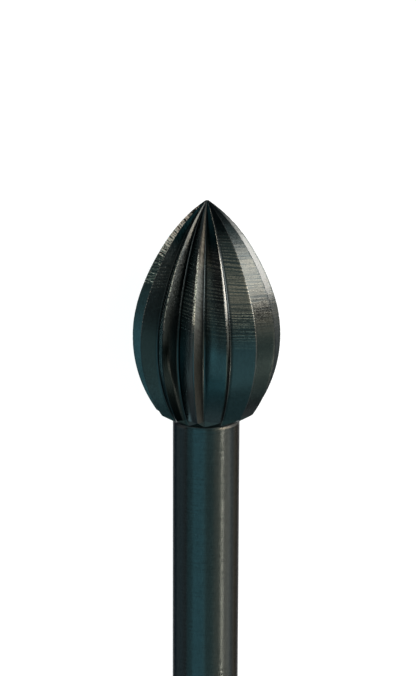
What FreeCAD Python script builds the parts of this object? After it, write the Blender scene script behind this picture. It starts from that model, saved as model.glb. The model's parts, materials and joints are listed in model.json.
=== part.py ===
"""Bud bur: a small rotary cutter for a handpiece, turned and fluted from one steel rod.

The bur is one solid. It is modelled along its own axis first, from the foot of the
head at zero up to the tip, with the shank below zero. It is then laid on the floor,
where it rests on two neighbouring teeth of the head and on the end of the shank.
All sizes are in millimetres and all angles in degrees.
"""
import FreeCAD
import Part
import math
import os

# Driving dimensions of the shank
SHANK_DIAMETER = 2.35
OVERALL_LENGTH = 44.5
SHANK_END_CHAMFER = 0.3
NECK_FILLET = 0.1

# Driving dimensions of the bud outline, from its foot to its tip
HEAD_DIAMETER = 5.15
HEEL_DIAMETER = 3.49
HEEL_CONE_DEG = 29.8
BODY_ARC_RADIUS = 4.71
BODY_ARC_END_DEG = 18.2
FLANK_ARC_RADIUS = 8.26
FLANK_ARC_END_DEG = 33.9
NOSE_ARC_RADIUS = 5.1
TIP_DIAMETER = 0.1

# Driving dimensions of the teeth, as seen in a section across the axis
TOOTH_COUNT = 14
GULLET_TURN_DEG = 6.8
GULLET_RATIO_AT_HEEL = 0.83
GULLET_RATIO_AT_TIP = 0.74
GULLET_FILLET_RATIO = 0.03
LAND_RATIO = 0.014

# How finely the flutes follow the outline
SECTIONS_PER_ARC = 4
SKIRT_DEPTH = 0.08

# How the rod under the head is roughed out before it is turned to size
NECK_COVER_RATIO = 0.6

# How finely the resting place is searched for
LOW_POINT_STEPS = 200
STEEPEST_TILT_DEG = 45
TILT_HALVINGS = 60

# Sizes worked out from the ones above
SHANK_RADIUS = SHANK_DIAMETER / 2
HEAD_RADIUS = HEAD_DIAMETER / 2
HEEL_RADIUS = HEEL_DIAMETER / 2
TIP_RADIUS = TIP_DIAMETER / 2
TOOTH_PITCH_DEG = 360.0 / TOOTH_COUNT
LAND_DEG = math.degrees(LAND_RATIO)
HEEL_HEIGHT = (HEEL_RADIUS - SHANK_RADIUS) * math.tan(math.radians(HEEL_CONE_DEG))


class Arc:
    """One round stretch of the outline, swept from a start angle to an end angle.

    The angles are the outline's lean towards the axis: zero where it runs along the
    axis, positive where it closes towards the tip.
    """

    def __init__(self, centre_height, centre_radius, arc_radius, start_deg, end_deg):
        self.centre_height = centre_height
        self.centre_radius = centre_radius
        self.arc_radius = arc_radius
        self.start_deg = start_deg
        self.end_deg = end_deg

    def point(self, lean_deg):
        """Height and radius of the outline where it leans by lean_deg."""
        lean = math.radians(lean_deg)
        height = self.centre_height + self.arc_radius * math.sin(lean)
        radius = self.centre_radius + self.arc_radius * math.cos(lean)
        return height, radius

    def stations(self, count):
        """Points at even steps along the arc, its end point left out."""
        step = (self.end_deg - self.start_deg) / count
        return [self.point(self.start_deg + step * index) for index in range(count)]


def following_arc(previous, arc_radius, end_deg):
    """The arc that carries on from another one without a kink."""
    lean = math.radians(previous.end_deg)
    height, radius = previous.point(previous.end_deg)
    centre_height = height - arc_radius * math.sin(lean)
    centre_radius = radius - arc_radius * math.cos(lean)
    return Arc(centre_height, centre_radius, arc_radius, previous.end_deg, end_deg)


def bud_arcs():
    """The body, flank and nose arcs of the bud outline, from the heel up to the tip."""
    heel_lean = -math.acos(1 - (HEAD_RADIUS - HEEL_RADIUS) / BODY_ARC_RADIUS)
    belly_height = HEEL_HEIGHT - BODY_ARC_RADIUS * math.sin(heel_lean)
    body = Arc(belly_height, HEAD_RADIUS - BODY_ARC_RADIUS, BODY_ARC_RADIUS,
               math.degrees(heel_lean), BODY_ARC_END_DEG)
    flank = following_arc(body, FLANK_ARC_RADIUS, FLANK_ARC_END_DEG)
    nose = following_arc(flank, NOSE_ARC_RADIUS, FLANK_ARC_END_DEG)
    nose.end_deg = math.degrees(math.acos((TIP_RADIUS - nose.centre_radius) / NOSE_ARC_RADIUS))
    return [body, flank, nose]


def tip_height():
    """Height of the tip above the foot of the head."""
    nose = bud_arcs()[-1]
    return nose.point(nose.end_deg)[0]


def outline_stations():
    """Heights and radii where the flutes are set out, from under the heel to the tip."""
    body, flank, nose = bud_arcs()
    body_chord = math.cos(math.radians(body.start_deg)) * BODY_ARC_RADIUS
    skirt_deg = math.degrees((HEEL_HEIGHT + SKIRT_DEPTH) / body_chord)
    skirt = body.point(body.start_deg - skirt_deg)
    stations = [skirt]
    stations += body.stations(2 * SECTIONS_PER_ARC)
    stations += flank.stations(SECTIONS_PER_ARC)
    stations += nose.stations(SECTIONS_PER_ARC)
    stations.append(nose.point(nose.end_deg))
    return stations


def polar_point(radius, angle_deg, height):
    """A point at a radius and an angle about the bur's axis."""
    angle = math.radians(angle_deg)
    return FreeCAD.Vector(radius * math.sin(angle), -radius * math.cos(angle), height)


def gullet_round(corner, rake_edge, back_edge, fillet):
    """Three points that round the bottom of a gullet: on the rake, lowest, on the back."""
    to_rake = (rake_edge - corner).normalize()
    to_back = (back_edge - corner).normalize()
    half_angle = to_rake.getAngle(to_back) / 2
    reach = fillet / math.tan(half_angle)
    bisector = (to_rake + to_back).normalize()
    middle = corner + bisector * (fillet / math.sin(half_angle) - fillet)
    return corner + to_rake * reach, middle, corner + to_back * reach


def tooth_section(height, radius, gullet_ratio):
    """The closed saw-tooth outline of the head across the axis at one height."""
    fillet = GULLET_FILLET_RATIO * radius
    corners = []
    for index in range(TOOTH_COUNT):
        edge_deg = TOOTH_PITCH_DEG * (index + 0.5) + LAND_DEG / 2
        cutting_edge = polar_point(radius, edge_deg, height)
        corner = polar_point(gullet_ratio * radius, edge_deg + GULLET_TURN_DEG, height)
        land_start = polar_point(radius, edge_deg + TOOTH_PITCH_DEG - LAND_DEG, height)
        rake_foot, bottom, back_foot = gullet_round(corner, cutting_edge, land_start, fillet)
        corners += [cutting_edge, rake_foot, bottom, back_foot, land_start]
    return Part.makePolygon(corners + corners[:1])


def fluted_bud():
    """The bud with its straight flutes, longer at the heel than the finished head."""
    stations = outline_stations()
    ratio_change = GULLET_RATIO_AT_TIP - GULLET_RATIO_AT_HEEL
    sections = []
    for height, radius in stations:
        share = height / tip_height()
        gullet_ratio = GULLET_RATIO_AT_HEEL + ratio_change * share
        sections.append(tooth_section(height, radius, gullet_ratio))
    return Part.makeLoft(sections, True, False)


def blank_outline(length, top):
    """The turned outline that the bur keeps to, in radius and height, open above the heel.

    It runs up the shank, round the small fillet at the neck and out along the heel's
    cone, then past the head's teeth, which stay inside it.
    """
    cone = math.radians(HEEL_CONE_DEG)
    reach = HEAD_RADIUS + SHANK_RADIUS
    cone_top = (reach - SHANK_RADIUS) * math.tan(cone)
    chamfer = min(SHANK_END_CHAMFER, SHANK_RADIUS / 2)
    fillet_reach = NECK_FILLET * math.tan((math.radians(90) - cone) / 2)
    centre = FreeCAD.Vector(SHANK_RADIUS + NECK_FILLET, 0, -fillet_reach)
    corner = FreeCAD.Vector(SHANK_RADIUS, 0, 0)
    fillet_start = FreeCAD.Vector(SHANK_RADIUS, 0, -fillet_reach)
    fillet_middle = centre + (corner - centre).normalize() * NECK_FILLET
    fillet_end = corner + FreeCAD.Vector(math.cos(cone), 0, math.sin(cone)) * fillet_reach
    return Part.makePolygon([
        FreeCAD.Vector(0, 0, top),
        FreeCAD.Vector(0, 0, -length),
        FreeCAD.Vector(SHANK_RADIUS - chamfer, 0, -length),
        FreeCAD.Vector(SHANK_RADIUS, 0, chamfer - length),
        fillet_start,
        fillet_middle,
        fillet_end,
        FreeCAD.Vector(reach, 0, cone_top),
        FreeCAD.Vector(reach, 0, top),
        FreeCAD.Vector(0, 0, top),
    ])


def turned_blank(length, top):
    """The solid of revolution of the blank's outline."""
    axis = FreeCAD.Vector(0, 0, 1)
    return Part.Face(blank_outline(length, top)).revolve(FreeCAD.Vector(0, 0, 0), axis, 360)


def rough_shank(length):
    """A rod a little thicker than the shank that reaches up into the head's core."""
    radius = SHANK_RADIUS + NECK_COVER_RATIO * NECK_FILLET
    start = FreeCAD.Vector(0, 0, -length - SHANK_RADIUS)
    return Part.makeCylinder(radius, length + SHANK_RADIUS + HEEL_HEIGHT, start)


def upright_bur():
    """The whole bur standing on its shank's axis, tip up."""
    length = OVERALL_LENGTH - tip_height()
    top = OVERALL_LENGTH
    rough = fluted_bud().fuse(rough_shank(length))
    return rough.common(turned_blank(length, top))


def lowest_on_head(tilt):
    """How low the two lowest teeth reach, seen from the axis at the head's foot."""
    sideways = math.cos(math.radians(TOOTH_PITCH_DEG / 2 - LAND_DEG / 2))
    lows = []
    for arc in bud_arcs():
        for height, radius in arc.stations(LOW_POINT_STEPS):
            lows.append(height * math.sin(tilt) - radius * sideways * math.cos(tilt))
    return min(lows)


def lowest_on_shank(tilt, length):
    """How low the rim of the shank's end reaches, seen from the same point."""
    rim = SHANK_END_CHAMFER - length
    return rim * math.sin(tilt) - SHANK_RADIUS * math.cos(tilt)


def resting_tilt(length):
    """The tilt in radians at which head and shank end touch the floor together."""
    low = 0.0
    high = math.radians(STEEPEST_TILT_DEG)
    for _ in range(TILT_HALVINGS):
        tilt = (low + high) / 2
        if lowest_on_head(tilt) < lowest_on_shank(tilt, length):
            low = tilt
        else:
            high = tilt
    return (low + high) / 2


def laid_down(upright):
    """The bur as it comes to rest: its axis along +Y, tip forward and a little raised."""
    length = OVERALL_LENGTH - tip_height()
    tilt = resting_tilt(length)
    lying = upright.copy()
    origin = FreeCAD.Vector(0, 0, 0)
    lying.rotate(origin, FreeCAD.Vector(1, 0, 0), math.degrees(tilt) - 90)
    box = lying.BoundBox
    middle = (box.YMin + box.YMax) / 2
    lying.translate(FreeCAD.Vector(0, -middle, -lowest_on_head(tilt)))
    return lying


def main():
    """Builds the bur, checks that it is one sound solid and writes it out."""
    os.makedirs("parts", exist_ok=True)
    bur = laid_down(upright_bur())
    if not bur.isValid():
        raise RuntimeError("the bur is not a valid solid")
    if len(bur.Solids) != 1:
        raise RuntimeError("the bur is not one solid")
    bur = bur.Solids[0]
    bur.exportStep(os.path.join("parts", "bud_bur.step"))
    box = bur.BoundBox
    print("bud_bur", round(bur.Volume, 3), "mm3", len(bur.Faces), "faces")
    print("box", [round(value, 3) for value in (box.XMin, box.XMax, box.YMin, box.YMax,
                                               box.ZMin, box.ZMax)])


main()
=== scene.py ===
"""Looks of the bud bur: a dark steel cutter with a fluted bud head on a plain round shank.

The bur lies on a pale floor, resting on two teeth and on the end of its shank, and the
camera looks down on its head. Sizes are in millimetres unless a name says otherwise, and
the finished mesh is in metres. Along the bur, heights are counted from the foot of the
head, up to the tip.
"""

import bpy
import bmesh
import enum
import json
import logging
import math
from dataclasses import dataclass, field
from mathutils import Matrix, Vector, noise


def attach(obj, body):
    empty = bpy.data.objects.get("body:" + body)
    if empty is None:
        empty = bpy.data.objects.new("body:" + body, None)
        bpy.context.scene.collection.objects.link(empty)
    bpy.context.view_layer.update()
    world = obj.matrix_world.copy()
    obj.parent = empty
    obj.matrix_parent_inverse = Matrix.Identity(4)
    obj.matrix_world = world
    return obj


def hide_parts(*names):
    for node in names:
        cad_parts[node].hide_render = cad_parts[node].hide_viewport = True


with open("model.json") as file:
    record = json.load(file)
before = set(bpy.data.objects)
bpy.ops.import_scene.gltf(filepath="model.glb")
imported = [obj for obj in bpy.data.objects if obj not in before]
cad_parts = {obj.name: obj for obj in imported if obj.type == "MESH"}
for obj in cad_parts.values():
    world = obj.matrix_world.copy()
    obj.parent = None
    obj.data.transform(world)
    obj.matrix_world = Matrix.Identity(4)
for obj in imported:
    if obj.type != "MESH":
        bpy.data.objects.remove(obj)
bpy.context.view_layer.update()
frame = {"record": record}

LOG = logging.getLogger("bud_bur")
MM = 0.001
FULL_TURN = 2 * math.pi
Colour = tuple[float, float, float]
Fade = tuple[float, ...]


class Facet(enum.Enum):
    """The stretches of one tooth, in order round the bur, with their steps and their start.

    The second number is where the facet starts in the tooth map, which counts from the
    cutting edge at 0, over the rake face, the gullet and the back, to the land's end at 4.
    """

    RAKE = (5, 0.0)
    GULLET = (6, 1.0)
    BACK = (13, 2.0)
    LAND = (2, 3.0)

    @property
    def steps(self) -> int:
        """How many faces lie side by side across the facet."""
        return self.value[0]

    @property
    def start(self) -> float:
        """Where the facet starts in the tooth map."""
        return self.value[1]


@dataclass(frozen=True)
class Arc:
    """One round stretch of the bud's outline, by its centre, radius and end heights."""

    centre_height: float
    centre_radius: float
    radius: float
    start: float
    end: float

    def width(self, height: float) -> float:
        """The bud's radius at a height on this arc."""
        rise = height - self.centre_height
        return self.centre_radius + math.sqrt(self.radius ** 2 - rise ** 2)

    def lean(self, height: float) -> float:
        """How far the outline leans towards the axis at a height, in radians."""
        return math.asin((height - self.centre_height) / self.radius)

    def heights(self, spacing: float) -> list[float]:
        """Heights at even steps along the arc, its end left out.

        Args:
            spacing: the distance between two steps.

        Returns:
            The heights, from the arc's start.
        """
        first, last = self.lean(self.start), self.lean(self.end)
        count = max(2, round((last - first) * self.radius / spacing))
        steps = [first + (last - first) * index / count for index in range(count)]
        return [self.centre_height + self.radius * math.sin(lean) for lean in steps]


@dataclass(frozen=True)
class BudOutline:
    """The outline of the head: a cone at the heel, then three arcs up to the tip."""

    shank_radius: float = 1.175
    head_radius: float = 2.575
    heel_radius: float = 1.745
    heel_cone: float = math.radians(29.8)
    body_arc: float = 4.71
    body_end: float = math.radians(18.2)
    flank_arc: float = 8.26
    flank_end: float = math.radians(33.9)
    nose_arc: float = 5.1
    tip_radius: float = 0.05

    @property
    def heel_height(self) -> float:
        """Height of the heel's corner above the foot."""
        return (self.heel_radius - self.shank_radius) * math.tan(self.heel_cone)

    def arcs(self) -> list[Arc]:
        """The body, flank and nose arcs, each starting where the one before it ends.

        Returns:
            The three arcs, from the heel to the tip.
        """
        heel_lean = -math.acos(1 - (self.head_radius - self.heel_radius) / self.body_arc)
        height = self.heel_height
        width = self.heel_radius
        found = []
        leans = [heel_lean, self.body_end, self.flank_end]
        for radius, start in zip([self.body_arc, self.flank_arc, self.nose_arc], leans):
            centre_height = height - radius * math.sin(start)
            centre_radius = width - radius * math.cos(start)
            if radius == self.body_arc:
                end = self.body_end
            elif radius == self.flank_arc:
                end = self.flank_end
            else:
                end = math.acos((self.tip_radius - centre_radius) / radius)
            end_height = centre_height + radius * math.sin(end)
            found.append(Arc(centre_height, centre_radius, radius, height, end_height))
            height = end_height
            width = centre_radius + radius * math.cos(end)
        return found

    def tip_height(self) -> float:
        """Height of the tip above the foot."""
        return self.arcs()[-1].end

    def width(self, height: float) -> float:
        """Radius of the circle that the cutting edges touch at a height."""
        for arc in self.arcs():
            if height <= arc.end:
                return arc.width(height)
        return self.tip_radius

    def cone_height(self, radius: float) -> float:
        """Height of the heel's cone where it has a radius."""
        return (radius - self.shank_radius) * math.tan(self.heel_cone)


@dataclass(frozen=True)
class ToothSection:
    """The saw-shaped section of one tooth, on a head of radius 1."""

    count: int = 14
    gullet_turn: float = math.radians(6.8)
    depth_at_heel: float = 0.83
    depth_at_tip: float = 0.74
    gullet_fillet: float = 0.03
    land: float = 0.014

    @property
    def pitch(self) -> float:
        """The turn from one tooth to the next."""
        return FULL_TURN / self.count

    def polar(self, radius: float, angle: float) -> Vector:
        """A point of the section, by its radius and its turn from straight up."""
        return Vector((radius * math.sin(angle), -radius * math.cos(angle), 0.0))

    def chain(self, share: float) -> list[Vector]:
        """The points across one tooth, from its cutting edge to the next one.

        Args:
            share: how far up the head the section lies, from 0 at the foot to 1.

        Returns:
            One point more than the tooth has steps.
        """
        depth = self.depth_at_heel + (self.depth_at_tip - self.depth_at_heel) * share
        edge = self.polar(1.0, 0.0)
        corner = self.polar(depth, self.gullet_turn)
        land_start = self.polar(1.0, self.pitch - self.land)
        to_rake = (edge - corner).normalized()
        to_back = (land_start - corner).normalized()
        half = to_rake.angle(to_back) / 2
        reach = self.gullet_fillet / math.tan(half)
        centre = corner + (to_rake + to_back).normalized() * self.gullet_fillet / math.sin(half)
        rake_foot = corner + to_rake * reach
        back_foot = corner + to_back * reach
        points = [edge.lerp(rake_foot, step / Facet.RAKE.steps)
                  for step in range(Facet.RAKE.steps)]
        first = (rake_foot - centre).normalized()
        last = (back_foot - centre).normalized()
        points += [centre + first.slerp(last, step / Facet.GULLET.steps) * self.gullet_fillet
                   for step in range(Facet.GULLET.steps)]
        points += [back_foot.lerp(land_start, step / Facet.BACK.steps)
                   for step in range(Facet.BACK.steps)]
        points += [self.polar(1.0, self.pitch - self.land * (1 - step / Facet.LAND.steps))
                   for step in range(Facet.LAND.steps + 1)]
        return points

    def marks(self) -> list[float]:
        """Where each point of the chain lies in the tooth map."""
        found = []
        for facet in Facet:
            found += [facet.start + step / facet.steps for step in range(facet.steps)]
        return found + [float(len(Facet))]


@dataclass
class FlutedHead:
    """The bud head with its fourteen straight flutes, made as one tooth and spun round."""

    outline: BudOutline = field(default_factory=BudOutline)
    section: ToothSection = field(default_factory=ToothSection)
    row_spacing: float = 0.062
    first_edge: float = math.radians(180 / 14) + 0.007
    nick_depth: float = 0.012
    nick_pitch: float = 0.16
    nicks_from: float = 2.5
    nicks_full_after: float = 0.5
    fine_nicks: float = 3.0

    def foot_height(self, column: int) -> float:
        """Height where one column of the tooth runs out on the heel's cone.

        Args:
            column: the column's number, from the cutting edge.

        Returns:
            The height above the foot of the head.
        """
        low, high = 0.0, self.outline.heel_height
        while high - low > MM * MM:
            height = (low + high) / 2
            if self.outline.cone_height(self.point(column, height).xy.length) > height:
                low = height
            else:
                high = height
        return high

    def point(self, column: int, height: float) -> Vector:
        """The point of a column of the tooth at a height."""
        share = height / self.outline.tip_height()
        place = self.section.chain(share)[column] * self.outline.width(height)
        place.z = height
        return place

    def one_tooth(self, bm: bmesh.types.BMesh) -> None:
        """Draws the flutes' runout at the heel and extrudes it row by row to the tip.

        Args:
            bm: the empty mesh that gets the tooth.
        """
        marks = self.section.marks()
        columns = range(len(marks))
        tip = self.outline.tip_height()
        heel = self.outline.heel_height
        feet = [self.foot_height(column) for column in columns]
        rows = [height for arc in self.outline.arcs() for height in arc.heights(self.row_spacing)]
        shares = [(height - heel) / (tip - heel) for height in rows] + [1.0]
        row = [bm.verts.new(self.point(column, feet[column])) for column in columns]
        edges = [bm.edges.new(pair) for pair in zip(row, row[1:])]
        tooth_map = bm.loops.layers.uv.new("tooth_map")
        for share in shares[1:]:
            made = bmesh.ops.extrude_edge_only(bm, edges=edges)["geom"]
            fresh = {part for part in made if isinstance(part, bmesh.types.BMVert)}
            above = [self.above(below, fresh) for below in row]
            for column, vert in enumerate(above):
                height = feet[column] + (tip - feet[column]) * share
                vert.co = self.point(column, height)
            mark_of = dict(zip(row, marks)) | dict(zip(above, marks))
            for face in (part for part in made if isinstance(part, bmesh.types.BMFace)):
                for loop in face.loops:
                    loop[tooth_map].uv.x = mark_of[loop.vert]
            row = above
            edges = [part for part in made if isinstance(part, bmesh.types.BMEdge)
                     and all(vert in fresh for vert in part.verts)]

    def above(self, below: bmesh.types.BMVert, fresh: set) -> bmesh.types.BMVert:
        """The new vertex that an extrusion put above an old one.

        Args:
            below: the old vertex.
            fresh: the vertices that the extrusion made.

        Returns:
            The vertex at the other end of the new edge from it.
        """
        return next(edge.other_vert(below) for edge in below.link_edges
                    if edge.other_vert(below) in fresh)

    def build(self) -> bmesh.types.BMesh:
        """Spins the tooth round the axis and closes the tip.

        Returns:
            The head's mesh, open at the heel.
        """
        bm = bmesh.new()
        self.one_tooth(bm)
        spun_turn = FULL_TURN - self.section.pitch
        bmesh.ops.rotate(bm, verts=bm.verts, matrix=Matrix.Rotation(self.first_edge, 3, "Z"))
        bmesh.ops.spin(bm, geom=bm.verts[:] + bm.edges[:] + bm.faces[:], axis=(0, 0, 1),
                       cent=(0, 0, 0), angle=spun_turn, steps=self.section.count - 1,
                       use_duplicate=True)
        bmesh.ops.remove_doubles(bm, verts=bm.verts, dist=MM / 10)
        tip = self.outline.tip_height()
        rim = [edge for edge in bm.edges
               if edge.is_boundary and all(vert.co.z > tip - MM for vert in edge.verts)]
        made = bmesh.ops.extrude_edge_only(bm, edges=rim)["geom"]
        pole = [part for part in made if isinstance(part, bmesh.types.BMVert)]
        bmesh.ops.pointmerge(bm, verts=pole, merge_co=(0, 0, tip))
        self.number_teeth(bm)
        self.nick_edges(bm)
        return bm

    def number_teeth(self, bm: bmesh.types.BMesh) -> None:
        """Writes each tooth's number into the tooth map, from the one right of the top.

        Args:
            bm: the head's mesh, which is changed.
        """
        tooth_map = bm.loops.layers.uv["tooth_map"]
        for face in bm.faces:
            middle = face.calc_center_median()
            turn = (math.atan2(middle.x, -middle.y) - self.first_edge) % FULL_TURN
            for loop in face.loops:
                loop[tooth_map].uv.y = math.floor(turn / self.section.pitch)

    def nick_edges(self, bm: bmesh.types.BMesh) -> None:
        """Wears small nicks into the cutting edges of the upper half.

        Args:
            bm: the head's mesh, which is changed.
        """
        tip = self.outline.tip_height()
        for vert in bm.verts:
            height = vert.co.z
            reach = self.outline.width(height) if height > self.nicks_from else 0.0
            if height > tip - self.nick_pitch or vert.co.xy.length < reach - self.nick_depth:
                continue
            place = vert.co / self.nick_pitch
            wear = noise.noise(place) + noise.noise(vert.co * self.fine_nicks / self.nick_pitch)
            fade = min(1.0, (height - self.nicks_from) / self.nicks_full_after)
            cut = self.nick_depth * max(0.0, wear) * fade
            vert.co.xy -= vert.co.xy.normalized() * max(0.0, cut)


@dataclass
class Shank:
    """The plain round shank: a profile turned round the axis, from the neck to its end."""

    radius: float = 1.175
    overall_length: float = 44.5
    end_chamfer: float = 0.3
    neck_fillet: float = 0.1
    fillet_steps: int = 5
    row_spacing: float = 1.5

    def profile(self, length: float, cone: float) -> list[Vector]:
        """The shank's outline, from the heel's cone down to the middle of its end.

        Args:
            length: the shank's length below the foot of the head.
            cone: the lean of the heel's cone, in radians.

        Returns:
            Points in the plane of X and Z.
        """
        turn = math.pi / 2 - cone
        reach = self.neck_fillet * math.tan(turn / 2)
        centre = Vector((self.radius + self.neck_fillet, 0.0, -reach))
        points = []
        for step in range(self.fillet_steps + 1):
            angle = math.pi - turn * (1 - step / self.fillet_steps)
            outward = Vector((math.cos(angle), 0.0, math.sin(angle)))
            points.append(centre + outward * self.neck_fillet)
        rows = max(1, round((length - self.end_chamfer - reach) / self.row_spacing))
        top, bottom = -reach, self.end_chamfer - length
        points += [Vector((self.radius, 0.0, top + (bottom - top) * step / rows))
                   for step in range(1, rows + 1)]
        points.append(Vector((self.radius - self.end_chamfer, 0.0, -length)))
        points.append(Vector((0.0, 0.0, -length)))
        return points

    def build(self, bm: bmesh.types.BMesh, steps: int, length: float, cone: float) -> list:
        """Turns the profile round the axis.

        Args:
            bm: the mesh that the shank is added to.
            steps: how many faces lie side by side round the shank.
            length: the shank's length below the foot of the head.
            cone: the lean of the heel's cone, in radians.

        Returns:
            The edges of the rim at the neck, which the heel's cone joins.
        """
        verts = [bm.verts.new(point) for point in self.profile(length, cone)]
        edges = [bm.edges.new(pair) for pair in zip(verts, verts[1:])]
        neck = verts[0].co.copy()
        bmesh.ops.spin(bm, geom=verts + edges, axis=(0, 0, 1), cent=(0, 0, 0),
                       angle=FULL_TURN, steps=steps, use_merge=True)
        bmesh.ops.remove_doubles(bm, verts=bm.verts, dist=MM / 10)
        return [edge for edge in bm.edges if edge.is_boundary
                and all(abs(vert.co.z - neck.z) < MM / 10 for vert in edge.verts)
                and all(abs(vert.co.xy.length - neck.x) < MM for vert in edge.verts)]


class Wire:
    """A socket of a material's nodes, with which numbers are worked out as in a formula."""

    def __init__(self, nodes: "Nodes", socket: bpy.types.NodeSocket) -> None:
        """Keeps the socket and the nodes that it belongs to."""
        self.nodes = nodes
        self.socket = socket

    def math(self, operation: str, *values: "Wire | float") -> "Wire":
        """The result of a Math node on values in the order given, or on this alone."""
        given = dict(enumerate(values or (self,)))
        return self.nodes.add("ShaderNodeMath", {"operation": operation}, given)

    def __add__(self, other: "Wire | float") -> "Wire":
        """The sum."""
        return self.math("ADD", self, other)

    __radd__ = __add__

    def __sub__(self, other: "Wire | float") -> "Wire":
        """The difference."""
        return self.math("SUBTRACT", self, other)

    def __rsub__(self, other: float) -> "Wire":
        """A number less this."""
        return self.math("SUBTRACT", other, self)

    def __mul__(self, other: "Wire | float") -> "Wire":
        """The product."""
        return self.math("MULTIPLY", self, other)

    __rmul__ = __mul__

    def over(self, start: float, end: float, first: float = 0.0, last: float = 1.0) -> "Wire":
        """A smooth change between two strengths, while this goes from start to end.

        Args:
            start: the value that gives the first strength.
            end: the value that gives the last strength.
            first: the strength at the start.
            last: the strength at the end.

        Returns:
            The strength.
        """
        (low, at_low), (high, at_high) = sorted(((start, first), (end, last)))
        return self.nodes.add("ShaderNodeMapRange", {"interpolation_type": "SMOOTHSTEP"}, {
            "Value": self, "From Min": low, "From Max": high,
            "To Min": at_low, "To Max": at_high})


class Nodes:
    """The node tree of one finish."""

    def __init__(self, tree: bpy.types.NodeTree) -> None:
        """Empties the tree."""
        self.tree = tree
        tree.nodes.clear()

    def add(self, kind: str, settings: dict | None = None, inputs: dict | None = None,
            output: str | int = 0) -> Wire:
        """Adds a node.

        Args:
            kind: the node's type.
            settings: its own settings, which are set first.
            inputs: a value or a wire for each of its sockets, by name or number.
            output: the socket that is given back, by name or number.

        Returns:
            The wire that leaves the node.
        """
        node = self.tree.nodes.new(kind)
        for name, value in (settings or {}).items():
            setattr(node, name, value)
        for name, value in (inputs or {}).items():
            socket = node.inputs[name]
            if isinstance(value, Wire):
                self.tree.links.new(value.socket, socket)
            else:
                socket.default_value = value
        if not node.outputs:
            return Wire(self, node.inputs[0])
        return Wire(self, node.outputs[output])

    def mix(self, share: Wire | float, first: Wire | tuple, second: Wire | tuple) -> Wire:
        """A colour between two others.

        Args:
            share: 0 for the first colour, 1 for the second.
            first: a colour or a wire.
            second: a colour or a wire.

        Returns:
            The mixed colour.
        """
        settings = {"data_type": "RGBA"}
        inputs = {0: share, 6: solid(first), 7: solid(second)}
        return self.add("ShaderNodeMix", settings, inputs, 2)


def solid(colour: Wire | tuple) -> Wire | tuple:
    """A colour with its alpha, where it has none yet."""
    if isinstance(colour, Wire):
        return colour
    return (*colour, 1.0)


class Teeth(enum.Enum):
    """The teeth in the camera's view, from left to right, named by how the light falls on them. The
    finish paints that light and shade onto them tooth by tooth.

    The numbers are a place in the tooth map and how far from it a tooth still belongs.
    """

    GLINTING = (10.0, 0.4)
    # Tooth 11 lies in dim light: painted shade on its rake, painted teal light on its back.
    DIMLY_LIT = (11.0, 0.4)
    DIMLY_LIT_AND_SHADED = (11.5, 0.9)
    SHADED = (12.0, 0.4)
    MIDDLE = (12.5, 0.9)
    # Tooth 13's rake is scratched and carries a painted highlight.
    SCRATCHED_AND_LIT = (13.0, 0.4)
    LIT = (0.0, 0.4)
    # Tooth 1 lies in the glare: its back carries a painted sheen.
    GLARE_SHEEN = (1.0, 0.4)
    RIGHT_SIDE = (1.5, 0.9)
    GLARING = (2.0, 0.4)


@dataclass(frozen=True)
class Patch:
    """A part of the head that one touch covers, where a touch is the steel's own tone, painted light
    or painted shade.

    A fade holds where it starts, where it ends and, where they aren't 0 and 1, its
    strengths there. Across, fades are places in the tooth map; heights are millimetres.
    """

    strength: float = 1.0
    teeth: Teeth | None = None
    across: tuple[Fade, ...] = ()
    heights: tuple[Fade, ...] = ()


ON_HEAD: Fade = (0.0, 0.2)
ON_RAKE: tuple[Fade, ...] = ((1.3, 0.9),)
IN_GULLET: tuple[Fade, ...] = ((0.88, 1.0), (2.1, 2.02))
FROM_BACK: tuple[Fade, ...] = ((2.0, 2.1),)
ON_BACK: tuple[Fade, ...] = (*FROM_BACK, (2.95, 2.9))
AT_EDGE: tuple[Fade, ...] = ((0.06, 0.0),)

RAKES = (Patch(1.0, None, ON_RAKE),)
# Painted shade in the gullets, weaker on the scratched tooth.
GULLET_SHADE = (
    Patch(1.0, None, IN_GULLET),
    Patch(-0.8, Teeth.SCRATCHED_AND_LIT, IN_GULLET, ((3.9, 3.3),)),
)
# Painted teal light on the backs of the dim and shaded teeth and at the foot of two rakes.
TEAL_LIGHT_PATCHES = (
    Patch(1.0, Teeth.DIMLY_LIT, ON_BACK, ((1.4, 2.4), (4.3, 3.4, 0.5))),
    Patch(1.0, Teeth.SHADED, (*ON_BACK, (2.8, 2.55, 0.08, 0.5)), ((1.4, 2.4), (4.3, 3.4, 0.5))),
    Patch(0.3, Teeth.SHADED, (*ON_BACK, (2.6, 2.3)), ((2.2, 1.6),)),
    Patch(0.09, Teeth.SCRATCHED_AND_LIT, FROM_BACK, ((3.3, 2.8), (1.5, 1.9))),
    Patch(0.11, Teeth.SCRATCHED_AND_LIT, ((1.9, 2.0), (2.7, 2.3)), ((2.4, 3.0), (6.2, 5.5))),
    Patch(0.06, Teeth.DIMLY_LIT, ON_RAKE, ((3.8, 4.6),)),
    Patch(0.05, Teeth.GLINTING, ON_RAKE, ((4.9, 4.5),)),
)
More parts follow.
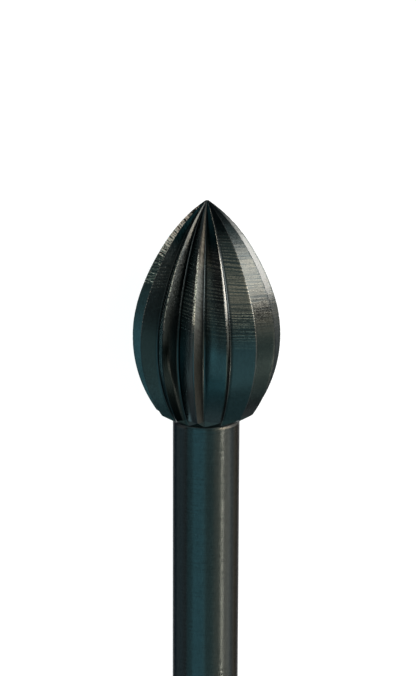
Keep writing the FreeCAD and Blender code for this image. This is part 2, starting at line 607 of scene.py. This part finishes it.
# Painted shade on parts of the dim, scratched, lit and glare teeth.
SHADE_PATCHES = (
    Patch(0.55, Teeth.GLARE_SHEEN, ON_BACK, ((3.9, 3.0), (0.6, 1.8))),
    Patch(0.5, Teeth.GLARE_SHEEN, ON_BACK, ((6.3, 6.9),)),
    Patch(0.5, Teeth.SCRATCHED_AND_LIT, FROM_BACK, ((2.4, 1.9),)),
    Patch(-0.15, Teeth.SCRATCHED_AND_LIT, FROM_BACK, ((1.5, 1.1),)),
    Patch(1.0, Teeth.SCRATCHED_AND_LIT, FROM_BACK, ((5.9, 6.7),)),
    Patch(0.5, Teeth.SCRATCHED_AND_LIT, (*ON_RAKE, (0.6, 1.0)), ((4.4, 3.4),)),
    Patch(1.0, Teeth.DIMLY_LIT, ON_RAKE, ((5.9, 6.7),)),
    Patch(0.7, Teeth.DIMLY_LIT, ((2.93, 2.97),), ((3.6, 3.0),)),
    Patch(0.4, Teeth.LIT, ON_BACK, ((3.8, 4.6),)),
    Patch(0.35, Teeth.LIT, ON_BACK, ((6.5, 7.1),)),
)
GLARING = (Patch(1.0, Teeth.GLARING, ON_BACK, ((4.2, 5.0), (7.5, 6.9))),)
# Painted sheen on the back of the tooth in the glare.
GLARE_SHEEN = (Patch(1.0, Teeth.GLARE_SHEEN, ON_BACK, ((3.0, 4.0), (6.6, 5.8))),)
# Painted highlight along the lit tooth's rake.
LIT_EDGE = (Patch(1.0, Teeth.LIT, (*ON_RAKE, (1.0, 0.7))),)
LIT_EDGE_TOP = (Patch(1.0, Teeth.LIT, (*ON_RAKE, (1.0, 0.7)), ((2.6, 3.8),)),)
# Scratches with a painted highlight on the scratched tooth's rake, and a painted highlight near the
# top of the shaded tooth's rake.
SCRATCHED_AND_LIT = (
    Patch(1.0, Teeth.SCRATCHED_AND_LIT, ON_RAKE),
    Patch(0.1, Teeth.SHADED, (*ON_RAKE, (0.85, 0.6)), ((6.8, 5.4), (3.6, 4.8))),
    Patch(0.6, Teeth.SHADED, (*ON_RAKE, (0.7, 0.3)), ((6.2, 6.9),)),
)
SCRATCHES_FADED = (
    Patch(0.55, None, ((0.6, 1.0),)),
    Patch(0.85, None, ((0.5, 0.2),), ((5.4, 6.4),)),
    Patch(0.3, None, ((0.5, 0.2),), ((4.2, 3.6), (2.4, 3.0))),
)
SHADED_RAKE = (Patch(1.0, Teeth.SHADED, ON_RAKE),)
DEEP_SHADE = (Patch(1.0, None, ((0.6, 0.9),), ((4.6, 5.2),)),)
LOW_SHADE = (Patch(1.0, None, ((0.5, 0.7, 1.0, 0.55),), ((3.0, 2.0),)),)
# Worn bare steel along some cutting edges, brightened there as painted glints.
WORN_AND_GLINTING_EDGES = (
    Patch(1.0, Teeth.DIMLY_LIT_AND_SHADED, ((2.86, 2.92),), ((6.6, 6.0),)),
    Patch(0.2, Teeth.SCRATCHED_AND_LIT, AT_EDGE, ((5.3, 4.9), (3.9, 4.2))),
    Patch(0.12, Teeth.SCRATCHED_AND_LIT, AT_EDGE, ((6.4, 5.8),)),
    Patch(1.0, Teeth.LIT, (*ON_RAKE, (1.0, 0.7), (0.35, 0.15))),
)
# Painted glints on the rake of the tooth at the left rim.
GLINTING_RAKE = (Patch(1.0, Teeth.GLINTING, ON_RAKE),)
GLINTS_CLOSER = (
    Patch(-0.45, None, (), ((6.1, 5.5),)),
    Patch(0.8, None, (), ((5.6, 6.4), (7.6, 7.2))),
)
UNMARKED_BACK = (Patch(1.0, Teeth.GLARING, ON_BACK, ((4.9, 5.5),)),)
FAINTLY_MARKED = (
    Patch(0.8, None, ON_RAKE),
    Patch(-0.8, Teeth.GLINTING, ON_RAKE),
    Patch(-0.1, Teeth.DIMLY_LIT, ON_RAKE),
)
FAINTLY_STREAKED = (Patch(0.45, Teeth.MIDDLE), Patch(0.72, Teeth.RIGHT_SIDE))
SHALLOWER = (Patch(0.5, Teeth.MIDDLE), Patch(0.5, Teeth.RIGHT_SIDE))
RIGHT_SIDE = (Patch(1.0, Teeth.RIGHT_SIDE),)
# Less metallic where the dim tooth's back has painted teal light, so that the painted light reads
# diffuse.
TEAL_LIGHT_DIFFUSE = (Patch(0.12, Teeth.DIMLY_LIT, ON_BACK, ((1.4, 2.4), (4.3, 3.6))),)


@dataclass(frozen=True)
class Bearings:
    """Where a point of the bur lies: its place, and its spot in the tooth map."""

    place: Wire
    across: Wire
    tooth: Wire
    height: Wire
    aside: Wire

    def covered(self, patches: tuple[Patch, ...]) -> Wire:
        """How strongly a group of patches covers the point, all added up."""
        return sum(self.mask(patch) for patch in patches)

    def mask(self, patch: Patch) -> Wire:
        """How strongly one patch covers the point.

        Args:
            patch: the patch.

        Returns:
            The product of its strength and its fades.
        """
        parts = [self.height.over(*fade) for fade in (ON_HEAD, *patch.heights)]
        parts += [self.across.over(*fade) for fade in patch.across]
        if patch.teeth:
            parts.append(self.tooth.math("COMPARE", self.tooth, *patch.teeth.value))
        return math.prod(parts, start=patch.strength)


@dataclass(frozen=True)
class Grain:
    """Noise drawn out across the bur, as a cutter or a grinding wheel leaves it."""

    scale: Colour
    detail: float = 2.0

    def at(self, place: Wire) -> Wire:
        """The noise at a place in millimetres, about 0.5 on average.

        Args:
            place: the place on the bur.

        Returns:
            The noise.
        """
        stretched = place.nodes.add("ShaderNodeVectorMath", {"operation": "MULTIPLY"},
                                    {0: place, 1: self.scale})
        return place.nodes.add("ShaderNodeTexNoise", inputs={
            "Vector": stretched, "Scale": 1.0, "Detail": self.detail})


@dataclass(frozen=True)
class Chatter:
    """The lines that a chattering cutter leaves across the teeth, and the grain between them."""

    back_from: float = 3.0
    rake_from: float = 4.9
    onset: Fade = (-0.05, 0.12)
    pitch: float = 0.108
    depth: float = 0.0006
    wander: Grain = Grain((0.15, 1.4, 0.15))
    wander_reach: float = 26.0
    strength: Grain = Grain((0.5, 4.0, 0.5))
    strong: Fade = (0.3, 0.68)
    fine: Grain = Grain((0.8, 24.0, 0.8))
    fine_share: float = 1.5
    fine_share_right: float = 1.3
    calmer_right: float = 0.6
    middle: float = 0.5

    def reach(self, where: Bearings) -> Wire:
        """How strongly the cutter chattered at a point.

        Args:
            where: the point.

        Returns:
            0 where the cut is smooth.
        """
        start = where.covered(RAKES) * (self.rake_from - self.back_from) + self.back_from
        return ((where.height - start).over(*self.onset)
                * (1.0 - where.covered(UNMARKED_BACK))
                * (1.0 - where.covered(FAINTLY_MARKED)))

    def ridges(self, where: Bearings, fine: Wire) -> Wire:
        """The lines' own relief, between about -1 and 1.

        Args:
            where: the point.
            fine: the fine grain at the point.

        Returns:
            The relief, without regard to where the cutter chattered.
        """
        right_side = where.covered(RIGHT_SIDE)
        phase = where.height * (FULL_TURN / self.pitch)
        waves = (phase + self.wander.at(where.place) * self.wander_reach).math("SINE")
        strength = self.strength.at(where.place).over(*self.strong)
        return (waves * strength * (1.0 - right_side * self.calmer_right)
                + (fine - self.middle) * (right_side * self.fine_share_right + self.fine_share))


@dataclass(frozen=True)
class Marks:
    """The marks on the steel at a point, each with its strength; the glints and the heel's tone are
    painted light, and the scratches and flecks carry painted highlights.
    """

    fine: Wire
    speckle: Wire
    chatter: Wire
    ridges: Wire
    highlighted_scratches: Wire
    streaks: Wire
    flecks: Wire
    glints: Wire
    heel: Wire


@dataclass(frozen=True)
class ToolSteel:
    """Dark tool steel: ground on the shank, cut smooth low on the head, chattered above, with the
    light and shade of the view painted on tooth by tooth.
    """

    tilt: float
    foot: Vector
    chatter: Chatter = Chatter()
    speckle: Grain = Grain((16.0, 22.0, 16.0))
    bars: Grain = Grain((1.0, 20.0, 1.0), 3.0)
    scratches: Grain = Grain((2.0, 16.0, 2.0))
    ground: Colour = (0.028, 0.033, 0.034)
    streak: Colour = (0.16, 0.148, 0.122)
    # Worn bare steel on the edges, brightened as painted glints.
    bare_and_glinting: Colour = (0.64, 0.59, 0.49)
    glint: Colour = (1.0, 0.74, 0.61)
    dull_rake: Colour = (0.044, 0.045, 0.041)
    # Painted highlight over the scratches, turning warm near the tip.
    scraped_highlight: Colour = (0.28, 0.295, 0.285)
    warm_highlight: Colour = (0.35, 0.32, 0.26)
    # Painted sheen.
    glare_sheen: Colour = (0.034, 0.0375, 0.0362)
    glaring: Colour = (0.098, 0.102, 0.101)
    shaded: Colour = (0.003, 0.0052, 0.0056)
    shaded_edge: Colour = (0.0012, 0.002, 0.0022)
    # Painted shade in the gullets.
    gullet: Colour = (0.019, 0.0235, 0.0245)
    # Painted shade.
    painted_shade: Colour = (0.003, 0.011, 0.013)
    # Painted teal light.
    teal_light: Colour = (0.20, 0.32, 0.34)
    # Painted teal light on the heel's cone, read partly diffuse through heel_dullness.
    heel: Colour = (0.020, 0.031, 0.031)
    # Painted shade on the neck's fillet, turning to a painted highlight on its right side.
    neck: Colour = (0.024, 0.026, 0.026)
    lit_neck: Colour = (0.095, 0.093, 0.085)
    # Painted highlight on the lit tooth's rake: dimmer low down, bright higher up.
    lit_rake_low: Colour = (0.06, 0.066, 0.062)
    lit_rake: Colour = (0.78, 0.78, 0.76)
    # Painted shade down the shank's left side and painted light down its right.
    shank_left_shade: Colour = (0.014, 0.0205, 0.023)
    shank_right_light: Colour = (0.044, 0.042, 0.036)
    rim_tint: Colour = (0.38, 0.38, 0.39)
    on_heel: tuple[Fade, Fade] = ((0.0, 0.02), (0.34, 0.28))
    on_neck: tuple[Fade, Fade] = ((-0.12, -0.09), (0.02, -0.01))
    neck_lit: Fade = (0.1, 0.6)
    on_shank: Fade = (0.0, -0.2)
    on_shaded_left: tuple[Fade, Fade] = ((-0.68, -0.85), (-0.92, -1.05, 1.0, 0.2))
    on_lit_right: Fade = (0.86, 1.0)
    shade_drop: Fade = (2.6, 1.6)
    shade_drop_reach: float = 0.3
    shade_across: Fade = (0.6, 0.3)
    shade_heights: Fade = (3.9, 3.0)
    silver_grain: Fade = (0.47, 0.38, 1.0, 0.25)
    streak_ridges: Fade = (-0.45, 0.6)
    streak_speckle: Fade = (0.3, 0.6, 0.4, 1.0)
    streak_heights: tuple[Fade, Fade] = ((7.6, 4.8), (2.9, 4.6, 0.1))
    fleck_heights: tuple[Fade, Fade] = ((3.7, 4.7), (7.6, 6.2, 0.4))
    fleck_speckle: Fade = (0.34, 0.6)
    bar_slant: float = 0.15
    bar_slant_heights: Fade = (8.2, 6.4)
    bar_contrast: float = 6.0
    bar_threshold: float = 3.1
    bar_speckle: float = 2.5
    scratch_slant: float = math.radians(40)
    scratch_contrast: Fade = (0.25, 0.75, 0.6, 1.3)
    scraped_heights: tuple[Fade, Fade] = ((2.4, 5.8), (7.9, 6.3))
    warm_highlight_heights: Fade = (5.4, 6.4)
    lit_heights: tuple[Fade, Fade] = ((3.9, 4.9), (6.5, 5.9))
    tone_spread: float = 1.1
    tone_least: float = 0.45
    ground_roughness: float = 0.22
    scraped_roughness: float = 0.46
    streak_roughness: float = 0.12
    speckle_roughness: float = 0.2
    streak_dullness: float = 0.3
    glint_dullness: float = 0.8
    fleck_dullness: float = 0.45
    fleck_on_lit: float = 0.5
    heel_dullness: float = 0.15
    glare_dullness: float = 0.6
    grind_depth: float = 0.0012
    shank_grind_depth: float = 0.011
    speckle_depth: float = 0.0006
    shank_speckle_depth: float = 0.0016
    middle: float = 0.5

    def build(self) -> bpy.types.Material:
        """Makes the material.

        Returns:
            The material for the whole bur.
        """
        material = bpy.data.materials.new("tool_steel")
        material.use_nodes = True
        nodes = Nodes(material.node_tree)
        where = self.bearings(nodes)
        marks = self.marks(where)
        bump = nodes.add("ShaderNodeBump", inputs={
            "Strength": 1.0, "Distance": MM, "Height": self.relief(where, marks)})
        shader = nodes.add("ShaderNodeBsdfPrincipled", inputs={
            "Base Color": self.colour(where, marks), "Metallic": self.metallic(where, marks),
            "Roughness": self.roughness(marks), "Normal": bump,
            "Specular Tint": solid(self.rim_tint)})
        nodes.add("ShaderNodeOutputMaterial", inputs={"Surface": shader})
        return material

    def bearings(self, nodes: Nodes) -> Bearings:
        """Finds where a point lies, from the place in the piece and from the tooth map.

        Args:
            nodes: the material's nodes.

        Returns:
            The point's bearings, with its place in millimetres from the foot of the head.
        """
        laid = nodes.add("ShaderNodeTexCoord", output="Object")
        place = nodes.add("ShaderNodeMapping", {"vector_type": "TEXTURE"},
                          {"Vector": laid, "Location": self.foot,
                           "Rotation": (self.tilt, 0.0, 0.0), "Scale": (MM, MM, MM)})
        tooth_map = nodes.add("ShaderNodeUVMap", {"uv_map": "tooth_map"})
        sources = ((tooth_map, "X"), (tooth_map, "Y"), (place, "Y"), (place, "X"))
        return Bearings(place, *(nodes.add("ShaderNodeSeparateXYZ", inputs={0: source}, output=axis)
                                 for source, axis in sources))

    def marks(self, where: Bearings) -> Marks:
        """Works out the marks on the steel.

        Args:
            where: the point.

        Returns:
            The marks at the point.
        """
        fine = self.chatter.fine.at(where.place)
        speckle = self.speckle.at(where.place)
        chatter = self.chatter.reach(where)
        ridges = self.chatter.ridges(where, fine)
        bands = math.prod(where.height.over(*fade) for fade in self.streak_heights)
        streaks = ((1.0 - where.covered(FAINTLY_STREAKED)) * chatter * bands
                   * ridges.over(*self.streak_ridges) * speckle.over(*self.streak_speckle))
        worn = math.prod(where.height.over(*fade) for fade in self.fleck_heights)
        # flecks: worn bare steel on the edges, with painted glints.
        flecks = where.covered(WORN_AND_GLINTING_EDGES) * worn * speckle.over(*self.fleck_speckle)
        return Marks(
            fine=fine, speckle=speckle, chatter=chatter, ridges=ridges,
            highlighted_scratches=where.covered(SCRATCHED_AND_LIT), streaks=streaks, flecks=flecks,
            glints=where.covered(GLINTING_RAKE) * chatter * self.bright_bars(where, speckle),
            heel=math.prod(where.height.over(*fade) for fade in self.on_heel))

    def bright_bars(self, where: Bearings, speckle: Wire) -> Wire:
        """The painted glints: bright bars on the tooth at the left rim, square to its edge.

        Args:
            where: the point.
            speckle: the speckle at the point.

        Returns:
            1 on a bar.
        """
        slant = where.across * where.height.over(*self.bar_slant_heights) * self.bar_slant
        square = where.place.nodes.add("ShaderNodeCombineXYZ", inputs={"Y": where.height + slant})
        level = (self.bars.at(square) * self.bar_contrast - self.bar_threshold
                 + (speckle - self.middle) * self.bar_speckle + where.covered(GLINTS_CLOSER))
        return level.over(0.0, 1.0)

    def scratches_and_highlight(self, where: Bearings) -> Wire:
        """The colour of the rake face in the middle: scratches aslant under a painted highlight,
        warmer near the tip.

        Args:
            where: the point.

        Returns:
            The colour.
        """
        nodes = where.place.nodes
        aslant = nodes.add("ShaderNodeMapping", {"vector_type": "POINT"},
                           {"Vector": where.place, "Rotation": (self.scratch_slant, 0.0, 0.0)})
        scratches = self.scratches.at(aslant).over(*self.scratch_contrast)
        bands = math.prod(where.height.over(*fade) for fade in self.scraped_heights)
        share = bands * scratches * (1.0 - where.covered(SCRATCHES_FADED))
        bright = nodes.mix(where.height.over(*self.warm_highlight_heights), self.scraped_highlight, self.warm_highlight)
        return nodes.mix(share, self.dull_rake, bright)

    def shade(self, where: Bearings) -> tuple[Wire, Wire]:
        """The shade on the rake face of the shaded tooth.

        Args:
            where: the point.

        Returns:
            How strong the shade is, and its colour.
        """
        drop = where.height.over(*self.shade_drop) * self.shade_drop_reach
        at_edge = ((where.across - drop).over(*self.shade_across)
                   * where.height.over(*self.shade_heights))
        most = at_edge.math("MAXIMUM", at_edge, where.covered(DEEP_SHADE))
        most = most.math("MAXIMUM", most, where.covered(LOW_SHADE))
        colour = where.place.nodes.mix(at_edge, self.shaded, self.shaded_edge)
        return where.covered(SHADED_RAKE) * most, colour

    def colour(self, where: Bearings, marks: Marks) -> Wire:
        """The steel's colour, laid on touch by touch: its own tones, painted light and painted shade.

        Args:
            where: the point.
            marks: the marks at the point.

        Returns:
            The colour.
        """
        nodes = where.place.nodes
        shank = where.height.over(*self.on_shank)
        # Painted shade on the shank's left side.
        left = math.prod((where.aside.over(*fade) for fade in self.on_shaded_left), start=shank)
        lit = math.prod(where.height.over(*fade) for fade in self.lit_heights)
        neck = math.prod(where.height.over(*fade) for fade in self.on_neck)
        touches = [
            (where.covered(TEAL_LIGHT_PATCHES), self.teal_light),
            (where.covered(GLARING), self.glaring),
            (where.covered(GLARE_SHEEN) * marks.fine.over(*self.silver_grain), self.glare_sheen),
            (marks.streaks, self.streak),
            (marks.highlighted_scratches, self.scratches_and_highlight(where)),
            (where.covered(GULLET_SHADE), self.gullet),
            self.shade(where),
            (where.covered(SHADE_PATCHES), self.painted_shade),
            (where.covered(LIT_EDGE), nodes.mix(lit, self.lit_rake_low, self.lit_rake)),
            (marks.flecks, self.bare_and_glinting),
            (marks.glints, self.glint),
            # The heel's cone gets its painted teal light.
            (marks.heel, self.heel),
            (left, self.shank_left_shade),
            (where.aside.over(*self.on_lit_right) * shank, self.shank_right_light),
            # Painted shade on the neck, turning to a painted highlight on its right.
            (neck, nodes.mix(where.aside.over(*self.neck_lit), self.neck, self.lit_neck)),
        ]
        base = self.ground
        for share, touch in touches:
            base = nodes.mix(share, base, touch)
        return nodes.add("ShaderNodeVectorMath", {"operation": "SCALE"}, {
            0: base, "Scale": marks.speckle * self.tone_spread + self.tone_least})

    def metallic(self, where: Bearings, marks: Marks) -> Wire:
        """How metallic the steel reads: less so where marks, painted highlights and painted teal light
        must read bright whatever it reflects.

        Args:
            where: the point.
            marks: the marks at the point.

        Returns:
            The share, 1 for clean steel.
        """
        dull = (marks.streaks * self.streak_dullness + marks.glints * self.glint_dullness
                + marks.flecks * self.fleck_dullness + marks.heel * self.heel_dullness
                + where.covered(GLARING) * self.glare_dullness
                + where.covered(LIT_EDGE_TOP) * (1.0 - marks.flecks * self.fleck_on_lit)
                + where.covered(TEAL_LIGHT_DIFFUSE))
        return 1.0 - dull

    def roughness(self, marks: Marks) -> Wire:
        """How rough the steel is at a point with these marks."""
        rougher = self.scraped_roughness - self.ground_roughness
        return (marks.highlighted_scratches * rougher + marks.streaks * self.streak_roughness
                + (marks.speckle - self.middle) * self.speckle_roughness + self.ground_roughness)

    def relief(self, where: Bearings, marks: Marks) -> Wire:
        """The height of the marks in millimetres.

        Args:
            where: the point.
            marks: the marks at the point.

        Returns:
            The height, for the bump.
        """
        head = where.height.over(*ON_HEAD)
        lines = marks.ridges * marks.chatter * (1.0 - where.covered(SHALLOWER)) * self.chatter.depth
        grind = head * (self.grind_depth - self.shank_grind_depth) + self.shank_grind_depth
        speckle = head * (self.speckle_depth - self.shank_speckle_depth) + self.shank_speckle_depth
        return lines + marks.fine * grind + marks.speckle * speckle


@dataclass
class BudBur:
    """The whole bur: the fluted head on its shank, as one piece of steel."""

    head: FlutedHead = field(default_factory=FlutedHead)
    shank: Shank = field(default_factory=Shank)
    crease: float = math.radians(24)

    @property
    def shank_length(self) -> float:
        """The shank's length below the foot of the head."""
        return self.shank.overall_length - self.head.outline.tip_height()

    def axis(self) -> Vector:
        """The direction of the bur from its shank to its tip."""
        return -Vector(frame["record"]["mounts"][0]["axis"])

    def foot(self) -> Vector:
        """The foot of the head, half a shank up from the shank's mount, in metres."""
        middle = Vector(frame["record"]["mounts"][0]["pos_m"])
        return middle + self.axis() * (self.shank_length / 2 * MM)

    def tilt(self) -> float:
        """How far the tip is raised, in radians."""
        return math.asin(self.axis().z)

    def build(self) -> bpy.types.Object:
        """Joins the head to the shank by the heel's cone and lays the bur down.

        Returns:
            The finished piece, which stands for the solid.
        """
        bm = self.head.build()
        rim = [edge for edge in bm.edges if edge.is_boundary]
        cone = self.head.outline.heel_cone
        neck = self.shank.build(bm, len(rim), self.shank_length, cone)
        bmesh.ops.bridge_loops(bm, edges=rim + neck)
        bmesh.ops.recalc_face_normals(bm, faces=bm.faces)
        for face in bm.faces:
            face.smooth = True
        for edge in bm.edges:
            edge.smooth = edge.calc_face_angle(0.0) < self.crease
        lay = Matrix.Rotation(self.tilt() - math.pi / 2, 4, "X")
        place = Matrix.Translation(self.foot()) @ lay @ Matrix.Scale(MM, 4)
        bmesh.ops.transform(bm, matrix=place, verts=bm.verts)
        mesh = bpy.data.meshes.new("bud_bur_steel")
        bm.to_mesh(mesh)
        bm.free()
        piece = bpy.data.objects.new("bud_bur_steel", mesh)
        bpy.context.scene.collection.objects.link(piece)
        mesh.materials.append(ToolSteel(self.tilt(), self.foot()).build())
        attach(piece, "root")
        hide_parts("bud_bur")
        LOG.info("%s has %d faces", piece.name, len(mesh.polygons))
        return piece


@dataclass(frozen=True)
class PhotoView:
    """Where the camera looks from, set by the bur: its axis, the way up and across."""

    bur: BudBur
    target_height: float = 2.912
    raised: float = math.radians(15.5)
    turned: float = math.radians(2.82)
    distance: float = 92.9
    focal_px: float = 2667.0
    long_side_px: float = 676.0
    sensor_mm: float = 36.0
    roll: float = math.radians(0.24)
    sideways: float = 0.05

    def front(self) -> Vector:
        """The direction square to the bur that faces the camera."""
        along = self.bur.axis()
        across = Vector((1.0, 0.0, 0.0))
        above = across.cross(along)
        return above * math.cos(self.turned) - across * math.sin(self.turned)

    def side(self) -> Vector:
        """The direction square to the bur that points to the picture's right."""
        return self.bur.axis().cross(self.front())

    def target(self) -> Vector:
        """The point on the bur's axis that the camera looks at, in metres."""
        return self.bur.foot() + self.bur.axis() * (self.target_height * MM)

    def direction(self, azimuth: float, elevation: float) -> Vector:
        """A direction from the bur.

        Args:
            azimuth: the turn about the bur from the camera to the picture's right.
            elevation: the rise towards the tip. Both are in degrees.

        Returns:
            A vector of length 1.
        """
        turn, rise = math.radians(azimuth), math.radians(elevation)
        flat = self.front() * math.cos(turn) + self.side() * math.sin(turn)
        return flat * math.cos(rise) + self.bur.axis() * math.sin(rise)

    def build(self) -> bpy.types.Object:
        """Makes the camera.

        Returns:
            The camera, which is the scene's own.
        """
        back = self.direction(0.0, math.degrees(self.raised))
        right = self.side()
        up = back.cross(right)
        up, right = (up * math.cos(self.roll) - right * math.sin(self.roll),
                     right * math.cos(self.roll) + up * math.sin(self.roll))
        place = self.target() + (back * self.distance + right * self.sideways) * MM
        data = bpy.data.cameras.new("photo_view")
        data.sensor_width = self.sensor_mm
        data.lens = self.focal_px * self.sensor_mm / self.long_side_px
        data.clip_start = self.distance * MM / 100
        camera = bpy.data.objects.new("photo_view", data)
        facing = Matrix((right, up, back)).transposed().to_4x4()
        camera.matrix_world = Matrix.Translation(place) @ facing
        bpy.context.scene.collection.objects.link(camera)
        bpy.context.scene.camera = camera
        return camera


@dataclass(frozen=True)
class SoftPanel:
    """One soft light, by the range of directions that it fills as seen from the bur."""

    name: str
    azimuths: tuple[float, float]
    elevations: tuple[float, float]
    radiance: float
    colour: Colour
    distance: float = 160.0
    lean: float = 0.0

    def build(self, view: PhotoView) -> bpy.types.Object:
        """Makes the light and turns it to the bur.

        Args:
            view: the camera's view, which the directions are counted from.

        Returns:
            The light.
        """
        azimuth, elevation = sum(self.azimuths) / 2, sum(self.elevations) / 2
        back = view.direction(azimuth, elevation)
        right = view.direction(azimuth + 90.0, 0.0)
        up = back.cross(right)
        place = view.target() + back * (self.distance * MM)
        data = bpy.data.lights.new(self.name, "AREA")
        data.shape = "RECTANGLE"
        data.size = self.span(self.azimuths)
        data.size_y = self.span(self.elevations)
        data.color = self.colour
        data.energy = self.radiance * math.pi * data.size * data.size_y
        light = bpy.data.objects.new(self.name, data)
        leant = Matrix.Rotation(math.radians(self.lean), 4, "Z")
        facing = Matrix((right, up, back)).transposed().to_4x4()
        light.matrix_world = Matrix.Translation(place) @ facing @ leant
        light.visible_camera = False
        bpy.context.scene.collection.objects.link(light)
        return light

    def span(self, ends: tuple[float, float]) -> float:
        """The panel's length in metres that fills a range of directions in degrees."""
        return 2 * self.distance * MM * math.tan(math.radians(ends[1] - ends[0]) / 2)


@dataclass(frozen=True)
class Studio:
    """The pale floor, the backdrop and the soft lights."""

    view: PhotoView
    floor_size: float = 2.4
    floor_colour: Colour = (0.2, 0.2, 0.2)
    floor_glow: float = 0.93
    horizon: float = 1.0
    ceiling: float = 0.16

    def panels(self) -> list[SoftPanel]:
        """The soft lights, with the directions that they fill in degrees."""
        return [
            SoftPanel("cool_left", (-44.0, -6.0), (-42.0, -9.0), 1.4, (0.36, 1.0, 1.18)),
            SoftPanel("cool_edge", (-68.0, -44.0), (-42.0, -9.0), 0.62, (0.40, 1.0, 1.12)),
            SoftPanel("cool_low", (-60.0, 30.0), (-80.0, -42.0), 0.5, (0.36, 1.0, 1.1)),
            SoftPanel("cool_middle", (-6.0, 26.0), (-42.0, -8.0), 0.75, (0.55, 1.0, 0.98)),
            SoftPanel("cool_high", (-60.0, 0.0), (-9.0, 10.0), 0.4, (0.5, 1.0, 1.0)),
            SoftPanel("upper_front", (-22.0, -2.0), (11.0, 22.0), 2.8, (1.05, 1.0, 0.85)),
            SoftPanel("upper_top", (-22.0, -2.0), (22.0, 38.0), 1.1, (0.8, 1.0, 0.92)),
            SoftPanel("warm_right", (62.0, 104.0), (-42.0, 1.0), 1.9, (1.12, 1.0, 0.85)),
            SoftPanel("warm_strip", (57.6, 61.4), (-30.0, -21.0), 40.0, (1.18, 1.0, 0.8)),
            SoftPanel("warm_near", (42.0, 57.0), (-12.0, 4.0), 1.3, (1.1, 1.0, 0.82)),
            SoftPanel("warm_inner", (28.0, 62.0), (-50.0, 0.0), 0.6, (0.9, 1.0, 0.82)),
            SoftPanel("warm_middle", (30.0, 52.0), (-28.0, -15.0), 0.75, (1.05, 1.0, 0.82)),
            SoftPanel("bright_right", (28.0, 112.0), (8.5, 28.0), 11.4, (1.04, 1.0, 0.95), lean=-10.0),
            SoftPanel("upper_right", (30.0, 105.0), (26.0, 44.0), 1.5, (1.0, 1.0, 0.95), lean=-10.0),
        ]

    def floor(self) -> bpy.types.Object:
        """Makes the floor, which reads as white and keeps the bur's soft shadow.

        Returns:
            The floor.
        """
        bm = bmesh.new()
        bmesh.ops.create_grid(bm, x_segments=2, y_segments=2, size=self.floor_size / 2)
        mesh = bpy.data.meshes.new("floor")
        bm.to_mesh(mesh)
        bm.free()
        floor = bpy.data.objects.new("floor", mesh)
        bpy.context.scene.collection.objects.link(floor)
        material = bpy.data.materials.new("pale_floor")
        material.use_nodes = True
        nodes = Nodes(material.node_tree)
        seen = sum((nodes.add("ShaderNodeLightPath", output=name) for name in
                    ("Is Glossy Ray", "Is Transmission Ray")),
                   nodes.add("ShaderNodeLightPath", output="Is Camera Ray"))
        glow = nodes.add("ShaderNodeEmission", inputs={"Strength": seen * self.floor_glow})
        card = nodes.add("ShaderNodeBsdfDiffuse", inputs={"Color": solid(self.floor_colour)})
        both = nodes.add("ShaderNodeAddShader", inputs={0: card, 1: glow})
        nodes.add("ShaderNodeOutputMaterial", inputs={"Surface": both})
        mesh.materials.append(material)
        return floor

    def backdrop(self) -> None:
        """Sets the world: white round the horizon and a dim soft ceiling above."""
        world = bpy.data.worlds.new("studio")
        bpy.context.scene.world = world
        world.use_nodes = True
        nodes = Nodes(world.node_tree)
        toward = nodes.add("ShaderNodeTexCoord", output="Generated")
        rise = nodes.add("ShaderNodeSeparateXYZ", inputs={0: toward}, output="Z")
        level = rise.over(0.2, 0.13) * (self.horizon - self.ceiling) + self.ceiling
        sky = nodes.add("ShaderNodeBackground", inputs={"Strength": level})
        nodes.add("ShaderNodeOutputWorld", inputs={"Surface": sky})

    def build(self) -> None:
        """Makes the floor, the backdrop and the lights."""
        self.floor()
        self.backdrop()
        for panel in self.panels():
            panel.build(self.view)
            LOG.info("light %s", panel.name)


def main() -> None:
    """Builds the bur, the camera and the studio."""
    logging.basicConfig(level=logging.INFO)
    bpy.context.scene.view_settings.view_transform = "Standard"
    bur = BudBur()
    bur.build()
    view = PhotoView(bur)
    view.build()
    Studio(view).build()


if __name__ == "__main__":
    main()
